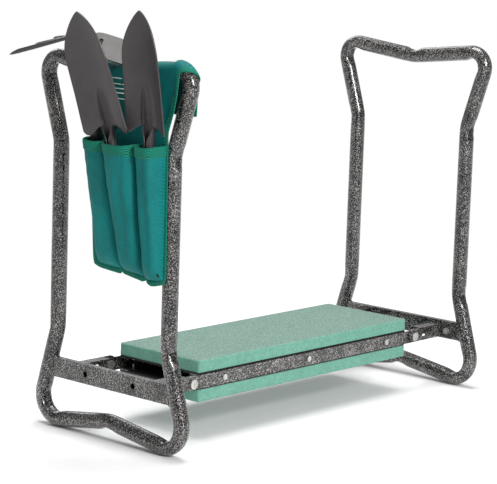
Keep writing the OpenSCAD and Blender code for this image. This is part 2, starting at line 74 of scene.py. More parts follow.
class Shader:
    """A principled material with a few helpers for its nodes."""

    def __init__(self, name, **sockets):
        self.mat = bpy.data.materials.new(name)
        self.mat.use_nodes = True
        self.tree = self.mat.node_tree
        self.bsdf = self.tree.nodes["Principled BSDF"]
        for key, value in sockets.items():
            self.bsdf.inputs[key.replace("_", " ")].default_value = value
        self.place = self.tree.nodes.new("ShaderNodeTexCoord").outputs["Object"]

    def add(self, kind, inputs=(), **props):
        n = self.tree.nodes.new("ShaderNode" + kind)
        for key, value in props.items():
            setattr(n, key, value)
        for key, value in dict(inputs).items():
            if isinstance(value, bpy.types.NodeSocket):
                self.tree.links.new(value, n.inputs[key])
            else:
                n.inputs[key].default_value = value
        return n

    def noise(self, scale, detail=2, rough=0.5, distort=0.0):
        return self.add("TexNoise", {"Vector": self.place, "Scale": scale, "Detail": detail,
                                     "Roughness": rough, "Distortion": distort}).outputs["Fac"]

    def voronoi(self, scale):
        return self.add("TexVoronoi", {"Vector": self.place, "Scale": scale}).outputs["Distance"]

    def wave(self, pitch, direction, distort):
        """Bands a pitch apart, in metres."""
        scale = 2 * math.pi / 20 / pitch
        inputs = {"Vector": self.place, "Scale": scale, "Distortion": distort, "Detail": 1.0}
        return self.add("TexWave", inputs, bands_direction=direction).outputs["Fac"]

    def math(self, op, a, b=0.5):
        return self.add("Math", {0: a, 1: b}, operation=op).outputs[0]

    def remap(self, value, a, b, lo=0.0, hi=1.0):
        return self.add("MapRange", {"Value": value, "From Min": a, "From Max": b, "To Min": lo,
                                     "To Max": hi}).outputs["Result"]

    def ramp(self, fac, stops):
        n = self.add("ValToRGB", {"Fac": fac})
        n.color_ramp.elements[0].position, n.color_ramp.elements[0].color = stops[0]
        n.color_ramp.elements[1].position, n.color_ramp.elements[1].color = stops[-1]
        for pos, col in stops[1:-1]:
            n.color_ramp.elements.new(pos).color = col
        return n.outputs["Color"]

    def mix(self, fac, a, b):
        n = self.add("Mix", {0: fac}, data_type="RGBA")
        for socket, value in ((n.inputs[6], a), (n.inputs[7], b)):
            if isinstance(value, bpy.types.NodeSocket):
                self.tree.links.new(value, socket)
            else:
                socket.default_value = value
        return n.outputs[2]

    def colour(self, value):
        self.tree.links.new(value, self.bsdf.inputs["Base Color"])

    def rough(self, value):
        self.tree.links.new(value, self.bsdf.inputs["Roughness"])

    def bump(self, height, strength, depth):
        n = self.add("Bump", {"Height": height, "Strength": strength, "Distance": depth})
        self.tree.links.new(n.outputs["Normal"], self.bsdf.inputs["Normal"])


def hammertone():
    """Dark powder coat with light veins, stretched smooth and glossy where a bend is dented."""
    s = Shader("hammertone_powder_coat", Metallic=0.6, Coat_Weight=0.75, Coat_Roughness=0.07)
    dent = s.add("Attribute", attribute_name="dent").outputs["Fac"]
    vein = s.noise(740, 2, 0.55, 0.6)
    blotch = s.noise(40, 2)
    lifted = s.math("ADD", vein, s.remap(blotch, 0.3, 0.7, -0.03, 0.03))
    lifted = s.math("SUBTRACT", lifted, s.math("MULTIPLY", dent, 0.05))
    s.colour(s.ramp(lifted, [(0.46, (0.002, 0.0019, 0.0018, 1)), (0.525, (0.006, 0.007, 0.0067, 1)),
                             (0.55, (0.10, 0.095, 0.093, 1)), (0.61, (0.38, 0.364, 0.355, 1))]))
    s.rough(s.remap(vein, 0.4, 0.65, 0.16, 0.36))
    s.bump(vein, s.remap(dent, 0.0, 0.8, 0.5, 0.06), 0.0006)
    return s.mat


def foam():
    """Closed-cell foam, embossed on its face and cut on its edges."""
    s = Shader("embossed_foam", Roughness=0.85)
    up = s.add("SeparateXYZ", {0: s.add("NewGeometry").outputs["Normal"]}).outputs["Z"]
    face = s.remap(s.math("ABSOLUTE", up), 0.6, 0.85)
    cell = s.voronoi(420)
    pore = s.noise(900, 2)
    top = s.mix(s.remap(cell, 0.15, 0.6), linear((72, 100, 91)), linear((126, 151, 141)))
    side = s.mix(s.remap(pore, 0.35, 0.65), linear((92, 150, 132)), linear((122, 176, 158)))
    streak = s.noise(60, 4, 0.7, 1.2)
    s.colour(s.mix(s.remap(streak, 0.35, 0.65, 0.0, 0.3), s.mix(face, side, top), linear((76, 122, 106))))
    s.bump(s.math("ADD", s.math("MULTIPLY", cell, face), s.math("MULTIPLY", pore, 0.25)), 0.6, 0.0008)
    return s.mat


def woven(name, dark, light, pitch, sheen):
    """Plain weave: warp along Z and weft along Y, with the threads' own height."""
    s = Shader(name, Roughness=0.6, Sheen_Weight=sheen, Sheen_Roughness=0.35, Specular_IOR_Level=0.2)
    warp = s.wave(pitch, "Y", 0.3)
    weft = s.wave(pitch, "Z", 0.3)
    over = s.math("MULTIPLY", warp, weft)
    under = s.math("MULTIPLY", s.math("SUBTRACT", 1.0, warp), s.math("SUBTRACT", 1.0, weft))
    thread = s.math("ADD", over, under)
    fade = s.noise(11, 3, 0.6)
    slub = s.noise(420, 2, 0.7)
    body = s.mix(s.remap(thread, 0.1, 0.9), dark, light)
    body = s.mix(s.remap(fade, 0.32, 0.7, 0.0, 0.3), body, tuple(c * 1.5 for c in light[:3]) + (1,))
    s.colour(s.mix(s.remap(slub, 0.4, 0.75, 0.0, 0.35), body, dark))
    s.rough(s.remap(thread, 0, 1, 0.75, 0.5))
    s.bump(s.math("ADD", thread, s.math("MULTIPLY", slub, 0.5)), 0.55, 0.0004)
    return s.mat


def ribbed_tape(name, dark, light, pitch):
    """Woven tape, strip or thread: fine slanting ribs under a little fuzz."""
    s = Shader(name, Roughness=0.78, Sheen_Weight=0.04, Sheen_Roughness=0.4, Specular_IOR_Level=0.25)
    rib = s.wave(pitch, "DIAGONAL", 0.4)
    fuzz = s.noise(700, 2, 0.7)
    s.colour(s.mix(s.remap(s.math("ADD", rib, fuzz), 0.6, 1.3), dark, light))
    s.bump(s.math("ADD", rib, fuzz), 0.5, 0.0003)
    return s.mat


def tool_coating(name, dark, light, rough):
    """Satin coating on pressed steel, clouded and lightly scuffed."""
    s = Shader(name, Metallic=0.3, Coat_Weight=0.1, Coat_Roughness=0.3)
    cloud = s.noise(22, 4, 0.6)
    grain = s.noise(1300, 2, 0.6)
    scuff = s.noise(90, 5, 0.75, 1.5)
    body = s.mix(s.remap(cloud, 0.3, 0.7), dark, light)
    s.colour(s.mix(s.remap(scuff, 0.62, 0.78, 0.0, 0.12), body, linear((120, 116, 113))))
    s.rough(s.remap(s.math("ADD", grain, scuff), 0.7, 1.3, rough - 0.06, rough + 0.1))
    s.bump(s.math("ADD", s.math("MULTIPLY", grain, 0.6), s.math("MULTIPLY", cloud, 0.8)), 0.18, 0.0004)
    return s.mat


def zinc():
    s = Shader("bright_zinc", Metallic=0.9)
    brushed = s.noise(900, 3, 0.6)
    bloom = s.noise(160, 3, 0.6)
    s.colour(s.mix(s.remap(bloom, 0.4, 0.65), linear((214, 214, 212)), linear((178, 176, 170))))
    s.rough(s.remap(s.math("ADD", brushed, bloom), 0.7, 1.2, 0.22, 0.42))
    s.bump(brushed, 0.2, 0.0002)
    return s.mat


def plastic(name, dark, light, rough, grain_size):
    s = Shader(name)
    grain = s.voronoi(1 / grain_size)
    wear = s.noise(60, 4, 0.65)
    s.colour(s.mix(s.remap(wear, 0.4, 0.72), dark, light))
    s.rough(s.remap(grain, 0.1, 0.7, rough + 0.08, rough - 0.06))
    s.bump(grain, 0.3, 0.0003)
    return s.mat


def printed_ink():
    s = Shader("white_print", Roughness=0.6)
    chip = s.noise(700, 3, 0.7)
    s.colour(s.mix(s.remap(chip, 0.58, 0.7), linear((226, 234, 230)), linear((120, 170, 160))))
    s.bump(chip, 0.3, 0.0002)
    return s.mat


PAINT = hammertone()
FOAM = foam()
CLOTH = woven("pouch_cloth", linear((0, 68, 69)), linear((0, 132, 130)), 0.0017, 0.03)
TAPE = ribbed_tape("pouch_tape", linear((4, 76, 61)), linear((10, 128, 107)), 0.0014)
STRIP = ribbed_tape("hook_and_loop", linear((10, 10, 11)), linear((34, 34, 36)), 0.0009)
THREAD = ribbed_tape("sewing_thread", linear((20, 96, 76)), linear((70, 160, 136)), 0.0006)
BLACK_THREAD = ribbed_tape("black_thread", linear((8, 8, 8)), linear((40, 40, 42)), 0.0006)
STEEL = tool_coating("tool_coating", linear((58, 54, 56)), linear((70, 66, 67)), 0.42)
HOE_STEEL = tool_coating("hoe_plate_coating", linear((60, 57, 55)), linear((72, 69, 67)), 0.5)
ZINC = zinc()
GRIP = plastic("grip_plastic", linear((20, 20, 21)), linear((46, 46, 47)), 0.5, 0.0012)
BOARD = plastic("board_plastic", linear((13, 13, 13)), linear((26, 26, 27)), 0.6, 0.0016)
NYLON = plastic("nylon", linear((20, 20, 20)), linear((38, 38, 38)), 0.45, 0.001)
PRINT = printed_ink()
SLOT_MATERIAL = {"frame_paint": PAINT, "zinc": ZINC, "nylon": NYLON, "board": BOARD, "foam": FOAM,
                 "pouch_cloth": CLOTH, "pouch_tape": TAPE, "strip": STRIP, "tool_steel": STEEL, "grip": GRIP}
node_slot = {s["node"]: s["material_slot"] for s in frame["record"]["subparts"]}
for name, node in nodes.items():
    node.data.materials.clear()
    node.data.materials.append(SLOT_MATERIAL[node_slot[name]])


# ---------------------------------------------------------------- mesh helpers

def piece(name, verts, faces, body, mat, slot, sharp=40):
    """A mesh piece, its vertices in metres, that rides on a body."""
    me = bpy.data.meshes.new(name)
    me.from_pydata([tuple(v) for v in verts], [], faces)
    me.validate()
    me.polygons.foreach_set("use_smooth", [True] * len(me.polygons))
    o = bpy.data.objects.new(name, me)
    scene.collection.objects.link(o)
    me.materials.append(mat)
    o["sharp"] = sharp
    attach(o, body)
    return o


def settle(o):
    """Applies a piece's modifiers and marks its sharp edges."""
    bpy.context.view_layer.update()
    me = bpy.data.meshes.new_from_object(o.evaluated_get(bpy.context.evaluated_depsgraph_get()))
    o.modifiers.clear()
    o.data = me
    me.set_sharp_from_angle(angle=math.radians(o["sharp"]))
    return o


def thicken(o, t, offset=-1.0):
    m = o.modifiers.new("thickness", "SOLIDIFY")
    m.thickness = t
    m.offset = offset
    m.use_even_offset = True


def soften(o, width, segments=2, angle=35):
    m = o.modifiers.new("edges", "BEVEL")
    m.width = width
    m.segments = segments
    m.limit_method = "ANGLE"
    m.angle_limit = math.radians(angle)


def grid(rows, close_u=False, close_v=False):
    """Vertices and quads from a list of equally long rows of points."""
    n, m = len(rows), len(rows[0])
    verts = [p for row in rows for p in row]
    faces = []
    for i in range(n if close_v else n - 1):
        for j in range(m if close_u else m - 1):
            a, b = i * m + j, i * m + (j + 1) % m
            c, d = ((i + 1) % n) * m + (j + 1) % m, ((i + 1) % n) * m + j
            faces.append((a, b, c, d))
    return verts, faces


def capped(rows):
    """A closed tube of rows, its first and last rows filled."""
    verts, faces = grid(rows, close_u=True)
    m = len(rows[0])
    faces.append(tuple(range(m - 1, -1, -1)))
    faces.append(tuple(len(verts) - m + j for j in range(m)))
    return verts, faces


def lathe(profile, turn=32):
    """Rows of a shape turned about Z, from its (radius, z) profile in mm."""
    angles = [2 * math.pi * j / turn for j in range(turn)]
    return [[Vector((r * math.cos(a), r * math.sin(a), z)) * MM for a in angles] for r, z in profile]


def moved(rows, m):
    return [[m @ p for p in row] for row in rows]


def wander(p, scale, seed):
    """Smooth noise from -1 to 1 at a point in mm."""
    return noise.noise(Vector(p) * scale + Vector((seed * 17.3, seed * 5.1, seed * 9.7)))


def smooth(t):
    t = min(1.0, max(0.0, t))
    return t * t * (3 - 2 * t)


def lerp(a, b, t):
    return a + (b - a) * t


def through(table, t):
    """The value at t of a line through sorted (t, value) pairs."""
    for (t0, v0), (t1, v1) in zip(table, table[1:]):
        if t <= t1:
            return lerp(v0, v1, max(0.0, t - t0) / (t1 - t0))
    return table[-1][1]


# ---------------------------------------------------------------- bent tube frames

low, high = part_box("right_tube_frame")
FRAME_X = (low[0] + high[0]) / 2 / MM
TUBE_R = (high[0] - low[0]) / 2 / MM
FRAME_H = high[2] / MM
CORNER_Y = high[1] / MM - TUBE_R
WAIST_Y, LOWER_Z, UPPER_Z = 99.5, 130.5, 374.0
TOP_R, FOOT_R, ELBOW_R, MIDDLE_R, DIP, ARCH = 21.0, 29.0, 40.0, 40.0, 11.5, 14.0


def heading(p, q):
    return math.atan2(q[1] - p[1], q[0] - p[0])


def corner(p, q, c, r):
    """Where the tangents to a circle from p and to q meet."""
    a = heading(p, c) - math.asin(r / math.dist(p, c))
    b = heading(q, c) + math.asin(r / math.dist(q, c))
    s = ((q[0] - p[0]) * math.sin(b) - (q[1] - p[1]) * math.cos(b)) / math.sin(b - a)
    return (p[0] + s * math.cos(a), p[1] + s * math.sin(a))


def loop_corners():
    arch, dip = (0, TUBE_R + ARCH), (0, FRAME_H - TUBE_R - DIP)
    lower, upper = (WAIST_Y, LOWER_Z), (WAIST_Y, UPPER_Z)
    foot = corner(arch, lower, (CORNER_Y - FOOT_R, TUBE_R + FOOT_R), FOOT_R)
    top = corner(upper, dip, (CORNER_Y - TOP_R, FRAME_H - TUBE_R - TOP_R), TOP_R)
    half = [(foot, FOOT_R), (lower, ELBOW_R), (upper, ELBOW_R), (top, TOP_R)]
    return [(arch, MIDDLE_R)] + half + [(dip, MIDDLE_R)] + [((-p[0], p[1]), r) for p, r in reversed(half)]


def loop_samples():
    """Points along the centre line, each with its heading and its nearest bend: (y, z, heading, the bend's
    side, the distance from its middle, its half length, its angle)."""
    corners = loop_corners()
    n = len(corners)
    out = []
    for i in range(n):
        (p, _), (q, r), (s, _) = corners[i - 1], corners[i], corners[(i + 1) % n]
        a, b = heading(p, q), heading(q, s)
        turn = (b - a + math.pi) % (2 * math.pi) - math.pi
        cut = r * math.tan(abs(turn) / 2)
        side = 1 if turn > 0 else -1
        half = r * abs(turn) / 2
        start = (q[0] - cut * math.cos(a), q[1] - cut * math.sin(a))
        centre = (start[0] - side * r * math.sin(a), start[1] + side * r * math.cos(a))
        steps = max(6, int(2 * half / 2.2))
        for k in range(steps + 1):
            h = a + turn * k / steps
            out.append((centre[0] + side * r * math.sin(h), centre[1] - side * r * math.cos(h), h,
                        side, half * (2 * k / steps - 1), half, abs(turn)))
        _, rt = corners[(i + 1) % n]
        nxt = corners[(i + 2) % n][0]
        turn2 = (heading(s, nxt) - b + math.pi) % (2 * math.pi) - math.pi
        cut2 = rt * math.tan(abs(turn2) / 2)
        length = math.dist(q, s) - cut - cut2
        count = max(2, int(length / 4.5))
        for k in range(1, count):
            d = cut + length * k / count
            near_next = k > count / 2
            gap = (length * (1 - k / count)) if near_next else length * k / count
            if near_next:
                bend = (1 if turn2 > 0 else -1, rt * abs(turn2) / 2, abs(turn2), -1)
            else:
                bend = (side, half, abs(turn), 1)
            side2, half2, angle, way = bend
            out.append((q[0] + d * math.cos(b), q[1] + d * math.sin(b), b, side2,
                        way * (half2 + gap), half2, angle))
    return out


def tube_frame(name, node, end, body):
    """The bent tube. Every bend has on its inner side the rippled dent that press bending leaves."""
    ring = 32
    rows, dents = [], []
    for y, z, h, side, s, half, turn in loop_samples():
        reach = half * 0.7 + 8
        fall = math.exp(-(s / reach) ** 4)
        depth = (3.2 + 1.0 * min(1.0, turn / 1.4)) * fall
        ripple = 1 + 0.3 * math.cos(2 * math.pi * s / (reach * 0.95))
        row = []
        for j in range(ring):
            phi = 2 * math.pi * j / ring
            inner = max(0.0, side * math.cos(phi))
            dent = depth * ripple * inner ** 4
            bulge = 0.16 * depth * math.exp(-((inner - 0.45) / 0.2) ** 2)
            r = TUBE_R - dent + bulge - 0.25 * fall
            dents.append(min(1.0, dent / 2.2))
            out, along = r * math.cos(phi), r * math.sin(phi)
            row.append(Vector((end * (FRAME_X + along), y - out * math.sin(h), z + out * math.cos(h))) * MM)
        rows.append(row)
    verts, faces = grid(rows, close_u=True, close_v=True)
    if end > 0:
        faces = [f[::-1] for f in faces]
    o = piece(name, verts, faces, body, PAINT, "frame_paint", 60)
    o.data.attributes.new("dent", "FLOAT", "POINT").data.foreach_set("value", dents)
    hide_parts(node)
    return o


tube_frame("left_bent_tube", "left_tube_frame", -1, "left_end_frame")
tube_frame("right_bent_tube", "right_tube_frame", 1, "right_end_frame")


def weld_bead(name, end, side, body):
    """A weld round a crossbar's end, where it meets the leg."""
    lo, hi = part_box("left_crossbar" if end < 0 else "right_crossbar")
    hw, hh = (hi[0] - lo[0]) / 2 / MM, (hi[2] - lo[2]) / 2 / MM
    zc = (hi[2] + lo[2]) / 2 / MM
    lean = (CORNER_Y - WAIST_Y) / (LOWER_Z - FOOT_R - TUBE_R)
    path = []
    outline = [(hw, -hh + k * hh / 6) for k in range(13)] + [(hw - k * hw / 3, hh) for k in range(1, 6)]
    outline += [(-hw, hh - k * hh / 6) for k in range(13)] + [(-hw + k * hw / 3, -hh) for k in range(1, 6)]
    for u, v in outline:
        leg_y = WAIST_Y + (LOWER_Z - (zc + v)) * lean
        dx = min(abs(u), TUBE_R - 0.5)
        face = leg_y - math.sqrt(TUBE_R ** 2 - dx ** 2)
        path.append(Vector((end * FRAME_X + u, side * (face - 0.3), zc + v)))
    rows = []
    n = len(path)
    for i, p in enumerate(path):
        t = (path[(i + 1) % n] - path[i - 1]).normalized()
        out = Vector((p.x - end * FRAME_X, 0, (p.z - zc) * hw / hh)).normalized()
        out = (out - t * out.dot(t)).normalized()
        b = t.cross(out)
        r = 1.5 + 0.35 * math.sin(i * 2.4) + 0.2 * wander(p, 0.3, 3)
        rows.append([(p + (out * math.cos(a) + b * math.sin(a)) * r) * MM
                     for a in (2 * math.pi * k / 10 for k in range(10))])
    verts, faces = grid(rows, close_u=True, close_v=True)
    return piece(name, verts, faces, body, PAINT, "frame_paint", 60)


for end, word in ((-1, "left"), (1, "right")):
    for side, where in ((-1, "front"), (1, "rear")):
        weld_bead(f"{word}_{where}_weld", end, side, f"{word}_end_frame")


# ---------------------------------------------------------------- kept metal parts get soft edges

EDGE = {"crossbar": 0.0014, "arm": 0.0005, "rail": 0.0007, "cross_member": 0.0007}
for name, node in nodes.items():
    for key, width in EDGE.items():
        if name.endswith(key):
            soften(node, width, 3 if key == "crossbar" else 2, 50)


def headed(name, profile, at, axis, body, cross=False, dimple=0.0):
    """A turned fastener head, its profile's Z along axis from its seat, with a cross recess or a dimple."""
    rows = lathe(profile, 40)
    top = profile[-1][1]
    for row in rows:
        for p in row:
            r = math.hypot(p.x, p.y) / MM
            a = math.atan2(p.y, p.x)
            if cross and p.z / MM > top * 0.45:
                arm = min(abs(math.sin(a)), abs(math.cos(a))) * r
                if arm < 0.55 and r < 2.5:
                    p.z -= (1 - smooth((r - 1.9) / 0.6)) * 1.1 * MM
            if dimple and r < 2.2 and p.z / MM > top * 0.45:
                p.z -= dimple * (1 - (r / 2.2) ** 2) * MM
    turn = Vector((0, 0, 1)).rotation_difference(Vector(axis)).to_matrix().to_4x4()
    rows = moved(rows, Matrix.Translation(Vector(at)) @ turn)
    return piece(name, *capped(rows), body, ZINC, "zinc", 45)


RIVET = [(6.2, 0), (6.25, 0.5), (5.9, 1.1), (5.1, 1.7), (4.0, 2.1), (2.9, 2.3), (2.2, 2.38), (1.5, 2.4),
         (0.7, 2.4), (0.15, 2.4)]
PAN = [(3.8, 0), (3.8, 0.7), (3.6, 1.3), (3.1, 1.75), (2.6, 1.95)]
PAN += [(r, 2.0) for r in (2.3, 1.9, 1.5, 1.1, 0.75, 0.5, 0.2)]
BOLT = [(4.5, 0), (4.5, 1.2), (4.2, 2.1), (3.5, 2.7), (2.6, 2.95), (2.2, 3.0), (1.5, 3.0), (1.0, 3.0),
        (0.6, 3.0), (0.2, 3.0)]
SIDES = ((-1, "front"), (1, "rear"))
for word in ("left", "right"):
    lo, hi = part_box(f"{word}_hinge_rivets")
    x, z = (lo[0] + hi[0]) / 2, (lo[2] + hi[2]) / 2
    seat = hi[1] - 2.4 * MM
    for side, where in SIDES:
        headed(f"{word}_{where}_rivet_head", RIVET, (x, side * (seat + 0.02 * MM), z), (0, side, 0), "deck",
               dimple=0.5)
for side, where in SIDES:
    lo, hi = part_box(f"{where}_rail_screws")
    seat = max(abs(lo[1]), abs(hi[1])) - 1.98 * MM
    for member in ("left", "middle", "right"):
        mlo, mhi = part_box(f"{member}_cross_member")
        headed(f"{where}_{member}_screw_head", PAN,
               ((mlo[0] + mhi[0]) / 2, side * seat, (mlo[2] + mhi[2]) / 2), (0, side, 0), "deck", cross=True)
for word, end in (("left", -1), ("right", 1)):
    lo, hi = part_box(f"{word}_arm_bolts")
    inner = hi[0] if end < 0 else lo[0]
    z = (lo[2] + hi[2]) / 2
    for side, where in SIDES:
        y = side * (hi[1] - 4.5 * MM)
        headed(f"{word}_{where}_bolt_head", BOLT, (inner + end * 2.95 * MM, y, z), (-end, 0, 0),
               f"{word}_end_frame", cross=True)


# ---------------------------------------------------------------- foam pads

def outline_points(hx, hy, r, inset):
    """A rounded rectangle's points, counterclockwise, drawn inset from its edge."""
    hx, hy, r = hx - inset, hy - inset, max(0.4, r - inset)
    pts = []
    sides = [((hx, -hy + r), (hx, hy - r), 14), ((hx - r, hy), (-hx + r, hy), 40),
             ((-hx, hy - r), (-hx, -hy + r), 14), ((-hx + r, -hy), (hx - r, -hy), 40)]
    centres = [(hx - r, hy - r), (-hx + r, hy - r), (-hx + r, -hy + r), (hx - r, -hy + r)]
    for k, (a, b, n) in enumerate(sides):
        pts += [(lerp(a[0], b[0], i / n), lerp(a[1], b[1], i / n)) for i in range(n)]
        pts += [(centres[k][0] + r * math.cos(math.radians(90 * k + 90 * i / 5)),
                 centres[k][1] + r * math.sin(math.radians(90 * k + 90 * i / 5))) for i in range(5)]
    return pts


def foam_pad(name, node, facing, seed):
    """A sheet of thick foam, die cut with slightly rolled edges, its embossed face up or down."""
    lo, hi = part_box(node)
    hx, hy = (hi[0] - lo[0]) / 2 / MM, (hi[1] - lo[1]) / 2 / MM
    t = (hi[2] - lo[2]) / MM
    levels = [(6, 0.05), (1.2, 0.05), (0.35, 0.5), (0.1, 1.5), (0.15, t * 0.35), (0.45, t * 0.6),
              (0.25, t - 2.2), (0.3, t - 1.3), (0.8, t - 0.5), (1.8, t - 0.08), (4, t), (10, t + 0.15),
              (22, t + 0.3),
              (40, t + 0.4), (58, t + 0.4), (68, t + 0.4)]
    rows = []
    for inset, h in levels:
        row = []
        for u, v in outline_points(hx, hy, 3.2, inset):
            edge = 0.35 * wander((u, v, h), 0.02, seed) if inset < 2 else 0
            rise = 0.3 * wander((u, v, 0), 0.03, seed + 3) * smooth((inset - 1) / 8)
            z = h + (rise if h > t / 2 else 0)
            z = z if facing > 0 else t - z
            pull = abs(edge) * 0.4
            row.append(Vector((u - math.copysign(pull, u), v - math.copysign(pull, v), 0)) * MM
                       + Vector((0, 0, lo[2] + z * MM)))
        rows.append(row)
    verts, faces = capped(rows)
    if facing < 0:
        faces = [f[::-1] for f in faces]
    o = piece(name, verts, faces, "deck", FOAM, "foam", 75)
    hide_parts(node)
    return o


foam_pad("kneeling_foam", "kneeling_pad", 1, 1)
foam_pad("seat_foam", "seat_pad", -1, 2)
for name in ("kneeling_board", "seat_board"):
    soften(nodes[name], 0.0004)


# ---------------------------------------------------------------- pouch

BAR_X = -FRAME_X
WRAP_R = TUBE_R + 1.0
OUT_X = BAR_X - WRAP_R
IN_X = BAR_X + WRAP_R
MOUTH_Z, FOOT_Z = 386.0, 230.0
TOP_CZ = FRAME_H - TUBE_R - TOP_R
TOP_CY = CORNER_Y - TOP_R
CLOTH_END_Y = 42
BAR_SLOPE, BAR_ROUND = 0.103, 60
# How far the cloth's edge rounds the front top corner, in degrees, inside and outside the frame
CORNER_INSIDE, CORNER_OUTSIDE = 76, 34


def bar_point(u, round_the_corner):
    """(y, z, outward y, outward z) on the handle bar's centre line, u from 0 at +Y's end of the cloth to 1
    at its edge, which rounds the front top corner by an angle in degrees."""
    straight = CLOTH_END_Y + TOP_CY
    bend = TOP_R * math.radians(round_the_corner)
    s = u * (straight + bend)
    if s <= straight:
        y = CLOTH_END_Y - s
        reach = math.sqrt(y * y + BAR_ROUND)
        z = FRAME_H - TUBE_R - DIP + reach * BAR_SLOPE - 0.8
        tilt = math.atan(BAR_SLOPE * y / reach)
        return y, min(z, TOP_CZ + TOP_R), -math.sin(tilt), math.cos(tilt)
    a = (s - straight) / TOP_R
    return -TOP_CY - TOP_R * math.sin(a), TOP_CZ + TOP_R * math.cos(a), -math.sin(a), math.cos(a)


# The back panel's two long edges, as (z, y)
RIGHT_EDGE = [(214, -93), (217, -98.5), (222, -101.2), (228, -102), (386, -100), (404, -99), (424, -102.5),
              (444, -105.5), (468, -113), (484, -117)]
LEFT_EDGE = [(222, 16), (224, 20), (228, 22.5), (236, 24), (386, 34), (425, 39), (470, 42)]
# The scalloped bottom edge, one scallop under each pocket, as (y, z)
BOTTOM = [(-100, 219), (-94, 216), (-88, 213.6), (-80, 212.8), (-69, 216), (-65.5, 219.5), (-61, 216.2),
          (-42, 219), (-25, 221.4), (-21.8, 224.2), (-18, 220.6), (0, 222), (17, 223.6), (22, 225.5),
          (27, 229)]


def panel_y(z, u, top_y):
    """Y on the back panel at a height, u from 0 at its +Y edge to 1 at its -Y edge."""
    right, left = through(RIGHT_EDGE, z), through(LEFT_EDGE, z)
    k = smooth((z - 395) / 75)
    return lerp(lerp(left, right, u), top_y, k)


def back_rows():
    """The back panel's points, from the flap's bottom up, over the bar and down to the bottom edge."""
    us = [j / 71 for j in range(72)]
    rows = []
    tops = [bar_point(u, CORNER_INSIDE) for u in us]
    for k in range(10):
        t = k / 10
        row = []
        for y, z, *_ in tops:
            wave = 0.5 * math.sin(y * 0.09 + 1) * (1 - t)
            row.append(Vector((IN_X + 0.7 + wave, y * lerp(0.985, 1, t), lerp(424, z, t))))
        rows.append(row)
    for k in range(15):
        a = math.pi * k / 14
        row = []
        for u in us:
            y, z, ny, nz = bar_point(u, lerp(CORNER_INSIDE, CORNER_OUTSIDE, k / 14))
            r = WRAP_R + 0.25 * wander((y, a * 12, 0), 0.09, 4)
            row.append(Vector((BAR_X + r * math.cos(a), y + ny * r * math.sin(a), z + nz * r * math.sin(a))))
        rows.append(row)
    tops = [bar_point(u, CORNER_OUTSIDE) for u in us]
    for k in range(1, 61):
        row = []
        for u, (y, z, *_) in zip(us, tops):
            t = (k / 60) ** 0.95
            low = through(BOTTOM, lerp(24, -97, u))
            zz = lerp(z, low, t)
            yy = panel_y(zz, u, y)
            fold = smooth((zz - 392) / 25) * (1 - smooth((zz - 462) / 12))
            pull = math.exp(-((yy + 105 - (zz - 390) * -0.16) / 3.5) ** 2) * fold
            sag = 0.9 * wander((0, yy, zz), 0.022, 5) * fold + 0.5 * math.sin(yy * 0.13 + zz * 0.05) * fold
            row.append(Vector((OUT_X - 0.3 - abs(sag) - pull, yy, zz)))
        rows.append(row)
    return rows


BACK = back_rows()


def back_cloth():
    verts, faces = grid([[p * MM for p in row] for row in BACK])
    o = piece("pouch_back", verts, faces, "left_end_frame", CLOTH, "pouch_cloth", 70)
    thicken(o, 1.0 * MM, 0.0)
    settle(o)
    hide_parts("pouch_back_cloth")
    return o


POCKETS = {
    "left_pocket": dict(right=(-11, -30), left=(27, 11), depth=(27, 13), seed=11, droop=2.5),
    "middle_pocket": dict(right=(-64, -70), left=(-12.2, -32), depth=(35, 16), seed=12, droop=2.5),
    "right_pocket": dict(right=(-98, -98.5), left=(-66, -72), depth=(29, 16), seed=13, droop=2.0),
}


def pocket_plan(p, z, low, u, grow=0.0):
    """A point of a pocket's rounded U at a height, u from 0 at its -Y seam to 1 at its +Y seam."""
    t = (z - FOOT_Z) / (MOUTH_Z - FOOT_Z)
    right = lerp(p["right"][1], p["right"][0], t) - grow
    left = lerp(p["left"][1], p["left"][0], t) + grow
    depth = lerp(p["depth"][1], p["depth"][0], t) + grow
    tuck = max(0.0, 1 - (z - low) / 20)
    depth *= math.sqrt(max(0.02, 1 - tuck ** 2))
    a = math.pi * u
    power = 2 / lerp(2.7, 3.6, t)
    c, s = math.cos(a), math.sin(a)
    y = (right + left) / 2 - (left - right) / 2 * math.copysign(abs(c) ** power, c)
    x = depth * abs(s) ** power
    return OUT_X - 0.9 - x, y


def pocket_point(p, v, u, grow=0.0):
    """v from 0 at the mouth to 1 at the bottom seam."""
    mouth = MOUTH_Z - p["droop"] * math.sin(math.pi * u) ** 2
    bottom = through(BOTTOM, lerp(p["right"][1], p["left"][1], lerp(0.12, 0.88, u))) + 7.5
    z = lerp(mouth, bottom, v)
    x, y = pocket_plan(p, z, bottom, u, grow)
    ease = math.sin(math.pi * u) ** 0.5
    hang = smooth(v * 6) * smooth((1 - v) * 6)
    fold = 2.4 * wander((0, y * 1.7, z * 0.22), 0.055, p["seed"])
    fold += 0.8 * wander((0, y, z), 0.1, p["seed"] + 2)
    belly = 0.8 * math.sin(math.pi * v)
    furthest = OUT_X - 0.9 - lerp(p["depth"][1], p["depth"][0], 1 - v) - 3.4 - grow
    return Vector((max(x - (belly + fold) * ease * hang, furthest), y, z)) * MM


def pocket(name):
    p = POCKETS[name]
    rows = [[pocket_point(p, v / 44, u / 56) for u in range(57)] for v in range(45)]
    verts, faces = grid(rows)
    o = piece(name + "_cloth", verts, faces, "left_end_frame", CLOTH, "pouch_cloth", 75)
    thicken(o, 0.8 * MM, 0.0)
    settle(o)
    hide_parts(name)
    return o


